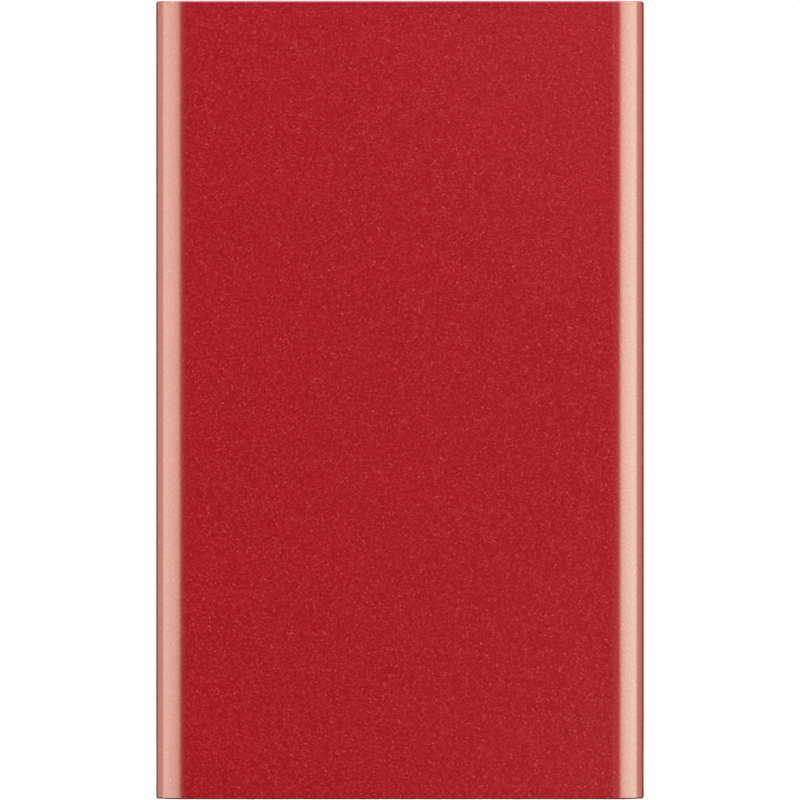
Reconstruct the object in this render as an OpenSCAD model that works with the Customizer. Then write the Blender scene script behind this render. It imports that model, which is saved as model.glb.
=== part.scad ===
// Pocket digital audio player: an extruded aluminium sleeve closed by two end caps.
// The display and the control ring face -Y, the plain back faces +Y, and +Z runs along
// the player's length. The origin is the centre of its lower end.
// A level is a height above the player's middle plane, positive towards the display.

/* [Body] */
// Width of the sleeve
body_w = 48; // [47.8:0.1:48.4]
// Length of the sleeve
body_h = 78.4; // [78.2:0.1:79]
// Thickness of the sleeve
body_t = 7.8; // [7.8:0.05:8]
// Radius of the sleeve's long edges
edge_r = 3.3; // [2.6:0.1:3.6]
// Wall of the sleeve
wall = 0.9; // [0.8:0.05:0.9]
// Depth of the end caps below the sleeve's rims
cap_recess = 0.1; // [0.05:0.05:0.2]

/* [Display] */
// Width of the window in the sleeve
window_w = 39.6; // [38:0.2:39.6]
// Height of the window in the sleeve
window_h = 30; // [28:0.2:30.2]
// Distance from the window's centre to the sleeve's upper end
window_drop = 22.3; // [22:0.1:22.6]
// Corner radius of the window
window_r = 1.2; // [0.6:0.1:2]

/* [Controls] */
// Diameter of the control ring
ring_d = 29; // [28:0.1:29.2]
// Height of the ring's centre above the lower end
ring_z = 22.1; // [21.9:0.1:22.3]
// Diameter of the centre button
button_d = 10.8; // [9:0.1:11]
// Width of the gap around the ring and around the button
control_gap = 0.2; // [0.15:0.01:0.25]
// Distance from the ring's centre to each of its four push pads
pad_r = 11.9; // [11.8:0.05:11.95]
// Travel of the hold slider
hold_travel = 2; // [1.6:0.1:2]

/* [Sockets] */
// Radius of the headphone socket's bore
jack_r = 1.8; // [1.76:0.01:1.85]
// Distance from the middle plane of the player to the headphone socket
jack_x = 16.2; // [16.1:0.05:16.3]

/* [Hidden] */
$fn = 72;

// Levels of the stack, from the display side to the back
front = body_t / 2;
front_in = front - wall;
ring_top = front - 0.1;
ring_under = 2.9;
pivot = 2.05;
board_top = 1.2;
dome_top = 1.58;
tray_top = 0.4;
pcb_top = -0.5;
pcb_back = -1.3;
lens_back = 2.5;
lens_gap = 0.1;
lens_flange = 0.9;
print_t = 0.05;
print_border = 0.45;
lcd_top = 2.2;
lcd_back = 0.45;
lcd_wall = 0.15;
lcd_split = 1.23;
flange_low = 2.2;
flange_high = 2.5;

// Inside of the sleeve
bay_w = body_w - 2 * wall;
bay_t = body_t - 2 * wall;
bay_r = edge_r - wall;
rib_depth = 0.5;
rib_t = 0.45;
rib_root = 0.2;
fit = 0.05;

// Heights along the player
window_z = body_h - window_drop;
lcd_z0 = window_z - 18.1;
lcd_z1 = window_z + 16.9;
lcd_w = 43.6;
tray_z0 = 2.85;
tray_z1 = body_h - 3.25;
top_cap_z = body_h - 2.3;
top_bracket_z = body_h - 3.2;
switch_z = body_h - 5.3;
switch_board_t = 0.45;
bottom_cap_z1 = 2.3;
bottom_bracket_z = 2.4;
bracket_t = 0.4;
slot_z = lcd_z0 - 0.8;
pcb_z0 = 3.4;
pcb_z1 = lcd_z0 - 1.8;

// Controls
ring_r = ring_d / 2;
ring_bore_r = button_d / 2 + control_gap;
flange_r = ring_r + 0.6;
skirt_t = 1.6;
dish_r = 40;
dish_depth = 0.2;
crown_r = 60;
pad_size_r = 0.7;
pin_r = 0.25;
pin_hole_r = 0.3;
pin_far = 9.9;
post_near = 9;
post_far = 10.2;
block_w = 2;
boss_low = 1.6;
gimbal_r = [6.6, 8.2];
gimbal_t = 0.6;
nav_screw_r = 12.6;
centre_dome_r = 2;
edge_dome_r = 1.5;
dome_wall = 0.07;
touch = 0.02;

// Hold switch: at rest the slider stands at the -X end of its travel
hold_x = -hold_travel / 2;
knob = [7, 3];
knob_top = body_h - 0.15;
neck = [4, 1.8];
slider_foot = [8.4, 3.8];
lever = [1, 0.9];

// Fasteners
end_screw_x = 20.8;
end_screw_r = 0.7;
end_hole_r = 0.8;
screw_fit = 0.02;
nav_hole_r = 0.42;
pcb_screw_r = 0.45;
standoff_r = 1.5;
block_x = [19.2, 22.4];
pcb_screw_at = [[-20, 13.5], [20, 19], [-20, pcb_z1 - 2.7], [20, pcb_z1 - 2.7]];

// Sockets
usb_w = 8.94;
usb_t = 3.26;
usb_wall = 0.3;
usb_z = [0.2, 7.5];
tongue = [6.69, 0.7];
jack_body_w = 5.6;
jack_body_t = 5.2;
jack_z1 = 14.3;
collar_rim_r = 2.6;
collar_r = 2.3;
jack_bore_z1 = 14;
jack_contact_z = [4.6, 9.4, 12.3];

// ---------- helpers ----------

// Slab of an outline drawn in X and Z, between two levels
module layer(low, high) {
    translate([0, -low, 0]) rotate([90, 0, 0]) linear_extrude(high - low) children();
}

// Bar of an outline drawn in X and Y, between two heights
module along(z0, z1) {
    translate([0, 0, z0]) linear_extrude(z1 - z0) children();
}

// Solid turned about the ring's axis, from a profile of radius and level
module turned() {
    translate([0, 0, ring_z]) rotate([90, 0, 0]) rotate_extrude() children();
}

module rounded(w, h, r) {
    square([w - 2 * r, h], center = true);
    square([w, h - 2 * r], center = true);
    for (x = [-1, 1], y = [-1, 1]) translate([x * (w / 2 - r), y * (h / 2 - r)]) circle(r);
}

module box_outline(x0, x1, y0, y1) {
    translate([x0, y0]) square([x1 - x0, y1 - y0]);
}

module obround(w, h) {
    rounded(w, h, h / 2 - 0.001);
}

module both_sides() {
    for (s = [-1, 1]) scale([s, 1]) children();
}

// Outline of the sleeve's bay, taken in by a gap
module plug_outline(gap) {
    rounded(bay_w - 2 * gap, bay_t - 2 * gap, bay_r - gap);
}

// Strip of flexible circuit of width x0 to x1 that follows a line drawn in level and Z
module strip(x0, x1, line, t = 0.1) {
    for (i = [0 : len(line) - 2]) {
        a = line[i];
        d = line[i + 1] - a;
        size = norm(d);
        translate([x0, -a[0], a[1]]) rotate([atan2(d[1], -d[0]), 0, 0])
            translate([0, -t / 2, -t / 2]) cube([x1 - x0, size + t, t]);
    }
}

// ---------- body ----------

module sleeve() color("#AB1E2C") difference() {
    union() {
        difference() {
            along(0, body_h) rounded(body_w, body_t, edge_r);
            along(-1, body_h + 1) rounded(bay_w, bay_t, bay_r);
        }
        // guide ribs that hold the chassis plate's long edges, milled away where the caps sit
        for (s = [-1, 1], y = [-tray_top - fit - rib_t / 2, fit + rib_t / 2]) along(tray_z0, tray_z1)
            translate([s * (bay_w - rib_depth + rib_root) / 2, y])
                square([rib_depth + rib_root, rib_t], center = true);
    }
    layer(1, front + 1) translate([0, window_z]) rounded(window_w, window_h, window_r);
    layer(1, front + 1) translate([0, ring_z]) circle(ring_r + control_gap);
}

module top_cap() color("#26262A") difference() {
    along(top_cap_z, body_h - cap_recess) plug_outline(fit);
    along(top_cap_z - 1, body_h) square([neck[0] + hold_travel + 0.3, neck[1] + 0.2], center = true);
    along(top_cap_z + 1.15, body_h) rounded(knob[0] + hold_travel + 0.3, knob[1] + 0.3, 1.5);
    hold_mark_shape();
}

module bottom_cap() color("#26262A") difference() {
    along(cap_recess, bottom_cap_z1) plug_outline(fit);
    along(-1, bottom_cap_z1 + 1) obround(usb_w + 0.16, usb_t + 0.16);
    // stepped holes for the headphone socket's collar and for the screw heads
    translate([jack_x, 0, -1]) cylinder(r = collar_rim_r + fit, h = 2);
    translate([jack_x, 0, 0]) cylinder(r = collar_r + fit, h = 3);
    for (s = [-1, 1]) translate([s * end_screw_x, 0, -1]) {
        cylinder(r = 1.3, h = 2);
        cylinder(r = end_hole_r, h = 5);
    }
}

// Pressed plate under an end cap, standing at height z, with holes for the end screws and for its children
module bracket(z) {
    color("#B9BCC0") along(z, z + bracket_t) difference() {
        plug_outline(0.3);
        for (s = [-1, 1]) translate([s * end_screw_x, 0]) circle(end_hole_r);
        children();
    }
}

module top_bracket() bracket(top_bracket_z)
    square([lever[0] + hold_travel + 0.6, lever[1] + 0.5], center = true);

module bottom_bracket() bracket(bottom_bracket_z) {
    obround(usb_w + 0.36, usb_t + 0.34);
    translate([jack_x, 0]) circle(collar_r + fit);
}

// Cast plate that carries everything and slides into the sleeve between its ribs
module chassis() color("#9DA0A4") difference() {
    union() {
        layer(0, tray_top) difference() {
            box_outline(-bay_w / 2 + 0.1, bay_w / 2 - 0.1, tray_z0 + 0.1, tray_z1);
            box_outline(-6.2, 6.2, 0, 10.9);
            box_outline(jack_x - 3.3, jack_x + 3, 0, jack_z1 + 0.6);
            box_outline(-7, 7, tray_z1 - 2.2, body_h);
            box_outline(-13, 10, slot_z - 0.7, slot_z + 0.7);
            for (x = [-10, 10]) translate([x, window_z]) rounded(14, 20, 2);
            for (x = [-6, 6], z = [15.6, 28.6]) translate([x, z]) circle(1.6);
        }
        // corner blocks for the end screws
        for (s = [-1, 1]) {
            along(tray_z0, tray_z0 + 5) block_outline(s);
            along(tray_z1 - 1.95, tray_z1) block_outline(s);
        }
        // standoffs for the main board
        for (p = pcb_screw_at) translate([p[0], 0, p[1]]) rotate([-90, 0, 0])
            cylinder(r = standoff_r, h = -pcb_top);
    }
    for (s = [-1, 1], z = [tray_z0 - 1, tray_z1 - 3]) translate([s * end_screw_x, 0, z])
        cylinder(r = end_screw_r + screw_fit, h = 7);
    for (p = pcb_screw_at) translate([p[0], -1, p[1]]) rotate([-90, 0, 0])
        cylinder(r = pcb_screw_r + screw_fit, h = 3);
    nav_screw_places() rotate([90, 0, 0]) cylinder(r = nav_hole_r, h = 4, center = true);
}

module block_outline(side) {
    scale([side, 1]) box_outline(block_x[0], block_x[1], -2.15, 2.15);
}

module nav_screw_places() {
    for (a = [45 : 90 : 315])
        translate([nav_screw_r * cos(a), 0, ring_z + nav_screw_r * sin(a)]) children();
}

// Pan-head screw that points down its own -Z axis, with its head's seat at the origin
module screw(head_r, head_h, shaft_r, shaft_h) {
    difference() {
        union() {
            cylinder(r = head_r, h = head_h);
            translate([0, 0, -shaft_h]) cylinder(r = shaft_r, h = shaft_h + head_h / 2);
        }
        for (a = [0, 90]) rotate([0, 0, a]) translate([0, 0, head_h])
            cube([head_r * 1.3, head_r * 0.3, head_h * 1.1], center = true);
    }
}

module top_screws() color("#8C8F94")
    for (s = [-1, 1]) translate([s * end_screw_x, 0, top_bracket_z + bracket_t])
        screw(1.2, 0.42, end_screw_r, 2.1);

module bottom_screws() color("#8C8F94")
    for (s = [-1, 1]) translate([s * end_screw_x, 0, 1]) rotate([180, 0, 0])
        screw(1.15, 0.6, end_screw_r, 6);

module board_screws() color("#C9B27A")
    for (p = pcb_screw_at) translate([p[0], -pcb_back, p[1]]) rotate([-90, 0, 0])
        screw(1, 0.45, pcb_screw_r, 1.3);

module nav_screws() color("#C9B27A")
    nav_screw_places() translate([0, -board_top, 0]) rotate([90, 0, 0])
        screw(0.9, 0.35, nav_hole_r - screw_fit, 1.1);

// ---------- display ----------

// Outline of the window, grown by a margin all round, or shrunk by a negative one
module window_outline(margin, r) {
    translate([0, window_z]) rounded(window_w + 2 * margin, window_h + 2 * margin, r);
}

module window_frame(outer, inner) {
    difference() {
        window_outline(outer, 1.5);
        window_outline(-inner, 0.4);
    }
}

module display_lens() color([0.2, 0.2, 0.22, 0.4]) {
    layer(front_in - 0.001, front) window_outline(-lens_gap, window_r - lens_gap);
    layer(lens_back, front_in) window_outline(lens_flange, 1.5);
}

module lens_print() color("#101012")
    layer(lens_back - print_t, lens_back) window_frame(lens_flange, print_border);

module window_gasket() color("#1B1B1D")
    layer(lcd_top, lens_back - print_t) window_frame(lens_flange - 0.1, 0.1);

module lcd_outline(inset) {
    box_outline(-lcd_w / 2 + inset, lcd_w / 2 - inset, lcd_z0 + inset, lcd_z1 - inset);
}

module lcd_frame() color("#C4C6C9") {
    difference() {
        layer(lcd_back, lcd_top) translate([0, (lcd_z0 + lcd_z1) / 2]) rounded(lcd_w, lcd_z1 - lcd_z0, 0.5);
        layer(lcd_back - 1, lcd_top - lcd_wall) lcd_outline(0.2);
        layer(lcd_top - 1, lcd_top + 1) window_outline(-0.15, 0.3);
        // mouth for the flexible circuit in the lower wall
        layer(0, 0.95) box_outline(-12.4, 0.4, lcd_z0 - 1, lcd_z0 + 1);
    }
}

module lcd_panel() color("#20262E") layer(lcd_split + 0.02, lcd_top - lcd_wall) lcd_outline(0.3);

module backlight() color("#E9E9E4") layer(lcd_back + 0.02, lcd_split) lcd_outline(0.3);

module lcd_flex() color("#B5782A")
    strip(-12, 0, [[0.7, lcd_z0 + 0.2], [0.7, slot_z + 0.35], [0.3, slot_z], [-1.6, slot_z],
        [-1.85, slot_z - 0.3], [-1.85, pcb_z1 - 1.2]]);

// ---------- controls ----------

// Rocking ring: a dished face, a skirt with a dust flange, two pivot bosses and four push pads
module nav_ring() color("#1D1D20") {
    skirt_r = ring_r - skirt_t;
    difference() {
        union() {
            turned() difference() {
                union() {
                    box_outline(ring_bore_r, ring_r, ring_under, ring_top);
                    box_outline(skirt_r, ring_r, flange_low, ring_top);
                    box_outline(skirt_r, flange_r, flange_low, flange_high);
                }
                translate([(ring_r + ring_bore_r) / 2, ring_top + dish_r - dish_depth])
                    circle(dish_r, $fn = 360);
            }
            for (s = [-1, 1]) layer(boss_low, ring_under + 0.1) pivot_block([0, s]);
            for (p = [[1, 0], [-1, 0], [0, 1], [0, -1]]) layer(dome_top + touch, ring_under + 0.1)
                translate([p[0] * pad_r, ring_z + p[1] * pad_r]) circle(pad_size_r);
        }
        translate([0, -pivot, ring_z]) cylinder(r = pin_hole_r, h = 24, center = true);
    }
}

// Outline of a block that holds a pivot pin, on the side of the ring's centre that a direction gives
module pivot_block(direction) {
    size = [post_far - post_near, block_w];
    middle = (post_near + post_far) / 2;
    translate([direction[0] * middle, ring_z + direction[1] * middle])
        rotate(direction[0] == 0 ? 90 : 0) square(size, center = true);
}

module centre_button() color("#AB1E2C") turned() {
    r = button_d / 2;
    intersection() {
        box_outline(0, r, flange_low, ring_top);
        translate([0, ring_top - crown_r]) circle(crown_r, $fn = 360);
    }
    box_outline(0, r + 0.7, flange_low + 0.1, flange_high + 0.1);
    box_outline(0, 1, dome_top + touch, flange_high);
}

module gimbal_ring() color("#B9BCC0") {
    turned() box_outline(gimbal_r[0], gimbal_r[1], pivot - gimbal_t / 2, pivot + gimbal_t / 2);
    for (a = [0 : 90 : 270]) translate([0, -pivot, ring_z]) rotate([0, a, 0])
        translate([0, 0, gimbal_r[1] - 0.3]) cylinder(r = pin_r, h = pin_far - gimbal_r[1] + 0.3);
}

module nav_base() color("#55585C") difference() {
    union() {
        layer(tray_top, board_top - 0.4) difference() {
            translate([0, ring_z]) circle(ring_r + 0.5);
            box_outline(-16, 16, 0, 8);
            translate([0, ring_z]) circle(5);
        }
        for (s = [-1, 1]) layer(tray_top, flange_high) pivot_block([s, 0]);
    }
    translate([0, -pivot, ring_z]) rotate([0, 90, 0]) cylinder(r = pin_hole_r, h = 24, center = true);
    nav_screw_places() rotate([90, 0, 0]) cylinder(r = nav_hole_r, h = 6, center = true);
}

module key_board() color("#14532D") layer(board_top - 0.4, board_top) difference() {
    translate([0, ring_z]) circle(ring_r - 0.2);
    box_outline(-16, 16, 0, 8.2);
    for (s = [-1, 1]) translate([s * (post_near + post_far) / 2, ring_z]) square([1.4, 2.4], center = true);
    for (a = [45 : 90 : 315]) translate([nav_screw_r * cos(a), ring_z + nav_screw_r * sin(a)])
        circle(nav_hole_r + 0.03);
}

// Snap dome under a push pad: a thin steel cap turned from an arc
module dome(x, z, dome_r) {
    rise = dome_top - board_top;
    ball_r = (dome_r * dome_r + rise * rise) / (2 * rise);
    translate([x, -board_top, z]) rotate([90, 0, 0]) rotate_extrude() intersection() {
        translate([0, rise - ball_r]) difference() {
            circle(ball_r, $fn = 180);
            circle(ball_r - dome_wall, $fn = 180);
        }
        square([dome_r + 1, 1]);
    }
}

module centre_dome() color("#C4C6C9") dome(0, ring_z, centre_dome_r);

module vertical_domes() color("#C4C6C9") for (s = [-1, 1]) dome(0, ring_z + s * pad_r, edge_dome_r);

module side_domes() color("#C4C6C9") for (s = [-1, 1]) dome(s * pad_r, ring_z, edge_dome_r);

module key_flex() color("#B5782A") strip(2, 7.5, [
    [board_top + 0.05, ring_z + 12.2], [board_top + 0.05, slot_z - 0.6], [0.9, slot_z], [-1.6, slot_z],
    [-1.85, slot_z - 0.3], [-1.85, pcb_z1 - 1.2]]);

// ---------- main board ----------

module main_board() color("#0F3D2A") layer(pcb_back, pcb_top) difference() {
    box_outline(-22.2, 22.2, pcb_z0, pcb_z1);
    box_outline(-usb_w / 2 - 0.2, usb_w / 2 + 0.2, 0, 10.9);
    box_outline(jack_x - 3.2, jack_x + 3, 0, jack_z1 + 0.5);
    both_sides() box_outline(block_x[0] - 0.3, 23, 0, tray_z0 + 5.3);
    for (p = pcb_screw_at) translate(p) circle(0.5);
}

module insulating_film() color("#C88A2B") layer(-0.1, 0) difference() {
    box_outline(-18, 18, 16, pcb_z1);
    for (p = pcb_screw_at) translate(p) circle(1.8);
    box_outline(jack_x - 3.4, 23, 0, 17);
}

// Flat package soldered to the back of the main board
module chip(x, z, w, h, t) {
    layer(pcb_back - t, pcb_back) translate([x, z]) square([w, h], center = true);
}

module processor() color("#1C1C1E") chip(-9.5, 24, 11, 11, 1);

module flash_chip() color("#1C1C1E") chip(7, 22.4, 11.5, 18, 1);

module audio_codec() color("#1C1C1E") chip(8.8, 8.9, 5, 5, 0.8);

module power_chip() color("#1C1C1E") chip(-14, 15, 4, 4, 0.8);

module crystal() color("#D5D7DA") chip(-7.2, 6.6, 3.2, 2.5, 0.7);

// Capacitors, resistors and coils
module board_components() color("#B79B74") {
    for (i = [0 : 5], j = [0 : 1]) chip(-17 + 1.5 * i, 5.2 + 3.6 * j, 0.6, 1, 0.5);
    for (i = [0 : 3]) chip(-8.6, 14.2 + 1.2 * i - 0.6, 1.2, 0.7, 0.5);
    for (i = [0 : 2]) chip(-3.2, 13.8 + 2 * i, 1, 1.6, 0.8);
    for (i = [0 : 3]) chip(6.7 + 1.4 * i, 4.9, 0.7, 1.2, 0.5);
    for (i = [0 : 4]) chip(15 + 1.3 * i, 16.6, 0.6, 1, 0.5);
    for (i = [0 : 2]) chip(-20.4, 18 + 3.2 * i, 2, 2, 0.9);
}

module shield_can() color("#C4C6C9") difference() {
    can = [17, 19, 1.45];
    layer(pcb_back - can[2], pcb_back) translate([-9.5, 21.5]) square([can[0], can[1]], center = true);
    layer(pcb_back - can[2] + 0.15, pcb_back + 1) translate([-9.5, 21.5])
        square([can[0] - 0.3, can[1] - 0.3], center = true);
    for (i = [-2 : 2], j = [-2 : 2]) translate([-9.5 + 2.8 * i, 0, 21.5 + 3.2 * j]) rotate([-90, 0, 0])
        cylinder(r = 0.4, h = 4);
}

module board_sockets() color("#E6E2D6") {
    for (s = [[-6, 12.6], [5, 6.6], [-16.5, 4.2]]) difference() {
        chip(s[0], pcb_z1 - 2.1, s[1], 2.6, 0.9);
        layer(-1.95, -1.75) translate([s[0], pcb_z1 - 1.4]) square([s[1] - 0.4, 2], center = true);
    }
    difference() {
        chip(17.6, 26, 4.6, 4, 1.3);
        layer(-2.5, -1.5) box_outline(15.7, 19.5, 25, 29);
    }
}

// ---------- sockets ----------

module usb_shell() color("#C9CBCE") {
    difference() {
        along(usb_z[0], usb_z[1]) obround(usb_w, usb_t);
        along(usb_z[0] - 1, usb_z[1] - 0.2) obround(usb_w - 2 * usb_wall, usb_t - 2 * usb_wall);
    }
    // soldering feet on the main board
    for (s = [-1, 1], z = [3.9, 6]) translate([s * 5.05, 0.4, z]) cube([1.3, 0.2, 1.1], center = true);
}

module usb_block() color("#19191B") {
    along(usb_z[1] - 1.9, usb_z[1] - 0.2) obround(usb_w - 2 * usb_wall - 0.02, usb_t - 2 * usb_wall - 0.02);
    along(usb_z[0] + 0.9, usb_z[1] - 1) square(tongue, center = true);
}

module usb_contacts() color("#D9B45A")
    for (i = [-5.5 : 5.5], s = [-1, 1]) translate([i * 0.5, s * (tongue[1] / 2 + 0.02), usb_z[0] + 2.8])
        cube([0.26, 0.04, 3.2], center = true);

// Sprung-contact socket for a 3.5 mm plug
module jack_body() color("#141416") difference() {
    translate([jack_x, 0]) along(tray_z0, jack_z1) square([jack_body_w, jack_body_t], center = true);
    translate([jack_x, 0, 0]) cylinder(r = jack_r, h = jack_bore_z1);
    for (i = [0 : 2]) translate([jack_x + contact_side(i) * 2.2, 0, jack_contact_z[i]])
        cube([1.4, 1.1, 1.9], center = true);
}

function contact_side(i) = i == 1 ? 1 : -1;

module jack_collar() color("#D5D7DA") difference() {
    union() {
        translate([jack_x, 0, cap_recess]) cylinder(r = collar_rim_r, h = 0.9);
        translate([jack_x, 0, 0.9]) cylinder(r = collar_r, h = tray_z0 - 0.9);
    }
    translate([jack_x, 0, -1]) cylinder(r = jack_r, h = 5);
}

module jack_contacts() color("#D9B45A") for (i = [0 : 2]) {
    s = contact_side(i);
    translate([jack_x, 0, jack_contact_z[i]]) {
        // nose just outside the bore, then a tail that bends down to the main board
        translate([s * 2.36, 0, 0]) cube([0.9, 0.9, 1.6], center = true);
        translate([s * 2.88, 0.6, 0]) cube([0.15, 2.1, 0.9], center = true);
        translate([s * 3.45, 1.4, 0]) cube([1.3, 0.16, 0.9], center = true);
    }
}

// ---------- battery ----------

battery_x = 38;
battery_z = [lcd_z0 + 3, window_z + 13.9];

module battery_cell() color("#B8BABD") layer(-2.8, -0.2)
    translate([0, (battery_z[0] + battery_z[1]) / 2]) rounded(battery_x, battery_z[1] - battery_z[0], 1);

module battery_pad() color("#2B2B2E") layer(-0.2, 0)
    box_outline(-17, 17, battery_z[0] + 1, battery_z[1] - 1);

module battery_guard() color("#C88A2B") layer(-2.3, -0.5)
    box_outline(-17, 17, battery_z[0] - 2.7, battery_z[0]);

module battery_plug() color("#F0ECE0") layer(-2.4, -1.52) box_outline(15.8, 19.4, 25.1, 28.6);

lead_r = 0.35;
lead_top = battery_z[0] - 2.7;
lead_foot = 28.6;

// Centre line of a lead: it swings sideways from the guard board to the plug and bows towards the back
function lead_point(x0, x1, t) = [
    x0 + (x1 - x0) * (1 - cos(180 * t)) / 2,
    1.9 + 0.35 * sin(180 * t),
    lead_top + (lead_foot - lead_top) * t
];

// Round lead swept along a line of points, with flat ends at its first and last heights
module lead(x0, x1) {
    sides = 10;
    steps = 12;
    points = [for (i = [0 : steps], k = [0 : sides - 1])
        lead_point(x0, x1, i / steps) + lead_r * [cos(360 * k / sides), sin(360 * k / sides), 0]];
    walls = [for (i = [0 : steps - 1], k = [0 : sides - 1]) let (n = (k + 1) % sides)
        [i * sides + k, i * sides + n, (i + 1) * sides + n, (i + 1) * sides + k]];
    caps = [[for (k = [sides - 1 : -1 : 0]) k], [for (k = [0 : sides - 1]) steps * sides + k]];
    polyhedron(points, concat(walls, caps));
}

module battery_lead_red() color("#B3261E") lead(14.6, 16.9);

module battery_lead_black() color("#161616") lead(16, 18.3);

// ---------- hold switch ----------

// Knob, neck and foot of the slider; the foot keeps it under the cap
module hold_slider() color("#9DA0A4") translate([hold_x, 0, 0]) difference() {
    union() {
        difference() {
            along(top_cap_z + 1.2, knob_top) rounded(knob[0], knob[1], 1.35);
            for (i = [-2 : 2]) translate([i * 0.9, 0, knob_top])
                cube([0.35, knob[1] - 1, 0.4], center = true);
        }
        along(top_cap_z - 0.1, top_cap_z + 1.3) square(neck, center = true);
        along(top_bracket_z + bracket_t + 0.08, top_cap_z - 0.07) square(slider_foot, center = true);
    }
    along(top_bracket_z, top_cap_z + 0.35) square([lever[0] + 0.1, lever[1] + 0.1], center = true);
}

module hold_lever() color("#E6E2D6") translate([hold_x, 0, 0])
    along(switch_z + 0.9, top_cap_z + 0.3) square(lever, center = true);

module hold_mark_shape() {
    along(top_cap_z + 1.05, top_cap_z + 1.15) box_outline(-4.4, -3.25, -0.8, 0.8);
}

module hold_mark() color("#F08A24") hold_mark_shape();

module hold_switch() color("#2B2B2E") difference() {
    along(switch_z + switch_board_t, top_bracket_z - 0.2) square([6.7, 2.7], center = true);
    along(switch_z + 0.8, top_bracket_z)
        square([lever[0] + hold_travel + 0.2, lever[1] + 0.2], center = true);
}

module switch_board() color("#0F3D2A") along(switch_z, switch_z + switch_board_t)
    square([13, 5], center = true);

module switch_flex() color("#B5782A") {
    far = -2.89;
    strip(-6, -4.2, [[-2.56, switch_z + 0.22], [far, switch_z + 0.22], [far, pcb_z1 + 4]]);
    layer(far - 0.05, far + 0.05) box_outline(-18.3, -4.2, pcb_z1 + 2.2, pcb_z1 + 4);
    strip(-18.3, -14.7, [[far, pcb_z1 + 2.25], [far, pcb_z1 + 1], [-1.85, pcb_z1], [-1.85, pcb_z1 - 1.2]]);
}

// ---------- the player ----------

sleeve();
top_cap();
bottom_cap();
top_bracket();
bottom_bracket();
chassis();
top_screws();
bottom_screws();
display_lens();
lens_print();
window_gasket();
lcd_frame();
lcd_panel();
backlight();
lcd_flex();
nav_ring();
centre_button();
gimbal_ring();
nav_base();
key_board();
nav_screws();
key_flex();
centre_dome();
vertical_domes();
side_domes();
main_board();
board_screws();
insulating_film();
processor();
flash_chip();
audio_codec();
power_chip();
crystal();
board_components();
shield_can();
board_sockets();
usb_shell();
usb_block();
usb_contacts();
jack_body();
jack_collar();
jack_contacts();
battery_cell();
battery_pad();
battery_guard();
battery_plug();
battery_lead_red();
battery_lead_black();
hold_slider();
hold_lever();
hold_mark();
hold_switch();
switch_board();
switch_flex();
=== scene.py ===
"""Digital audio player in red anodised aluminium, dressed around its CAD frame."""

import functools
import math

import bmesh
import bpy
from bpy.props import FloatProperty, FloatVectorProperty, IntProperty, PointerProperty
from mathutils import Matrix, Vector


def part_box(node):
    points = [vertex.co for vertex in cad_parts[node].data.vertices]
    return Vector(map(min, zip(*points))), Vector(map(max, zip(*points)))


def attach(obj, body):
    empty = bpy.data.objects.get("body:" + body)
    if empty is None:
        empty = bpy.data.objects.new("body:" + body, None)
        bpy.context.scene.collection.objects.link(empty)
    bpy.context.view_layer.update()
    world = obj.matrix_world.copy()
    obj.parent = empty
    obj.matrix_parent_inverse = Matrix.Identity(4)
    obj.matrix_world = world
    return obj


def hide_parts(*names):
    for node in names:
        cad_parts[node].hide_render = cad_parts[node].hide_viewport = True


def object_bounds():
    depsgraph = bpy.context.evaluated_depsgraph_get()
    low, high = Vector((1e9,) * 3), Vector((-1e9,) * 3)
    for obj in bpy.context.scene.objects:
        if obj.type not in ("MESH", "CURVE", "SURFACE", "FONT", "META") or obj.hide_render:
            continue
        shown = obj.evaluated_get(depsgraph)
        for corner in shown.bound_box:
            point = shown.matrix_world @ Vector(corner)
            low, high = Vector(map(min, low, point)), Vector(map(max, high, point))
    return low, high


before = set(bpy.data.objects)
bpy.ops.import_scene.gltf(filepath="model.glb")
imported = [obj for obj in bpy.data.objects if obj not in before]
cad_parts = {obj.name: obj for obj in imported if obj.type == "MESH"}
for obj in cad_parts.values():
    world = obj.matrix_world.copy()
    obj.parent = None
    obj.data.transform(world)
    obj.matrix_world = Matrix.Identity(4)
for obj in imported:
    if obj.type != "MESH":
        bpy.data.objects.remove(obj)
CAD_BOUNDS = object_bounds()

bl_info = {
    "name": "Pocket Audio Player",
    "version": (1, 0, 0),
    "blender": (4, 5, 0),
    "location": "3D View > Sidebar > Player",
    "description": "Builds the visible pieces, finishes and studio of a pocket audio player",
    "category": "Object",
}

MM = 0.001
FACING_DISPLAY = Matrix.Rotation(math.radians(90), 4, "X")


def colour(code):
    """Linear colour, with alpha 1, of an sRGB hex code."""
    channels = [int(code[i : i + 2], 16) / 255 for i in (1, 3, 5)]
    return (*[c / 12.92 if c <= 0.04045 else ((c + 0.055) / 1.055) ** 2.4 for c in channels], 1.0)


@functools.cache
def corners(node):
    """Lowest and highest corner of a CAD node."""
    return tuple(Vector(corner).freeze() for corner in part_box(node))


def middle(node):
    """Centre of a CAD node's box."""
    low, high = corners(node)
    return (low + high) / 2


def length(name, description, default):
    """A size in metres that a user may change."""
    return FloatProperty(name=name, description=description, default=default, min=0.0, precision=5,
                         unit="LENGTH", subtype="DISTANCE")


def tint(name, description, code):
    """A colour that a user may change."""
    return FloatVectorProperty(name=name, description=description, default=colour(code)[:3], size=3,
                               min=0.0, max=1.0, subtype="COLOR")


# ---------- sizes, colours and lights that a user may change ----------


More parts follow.
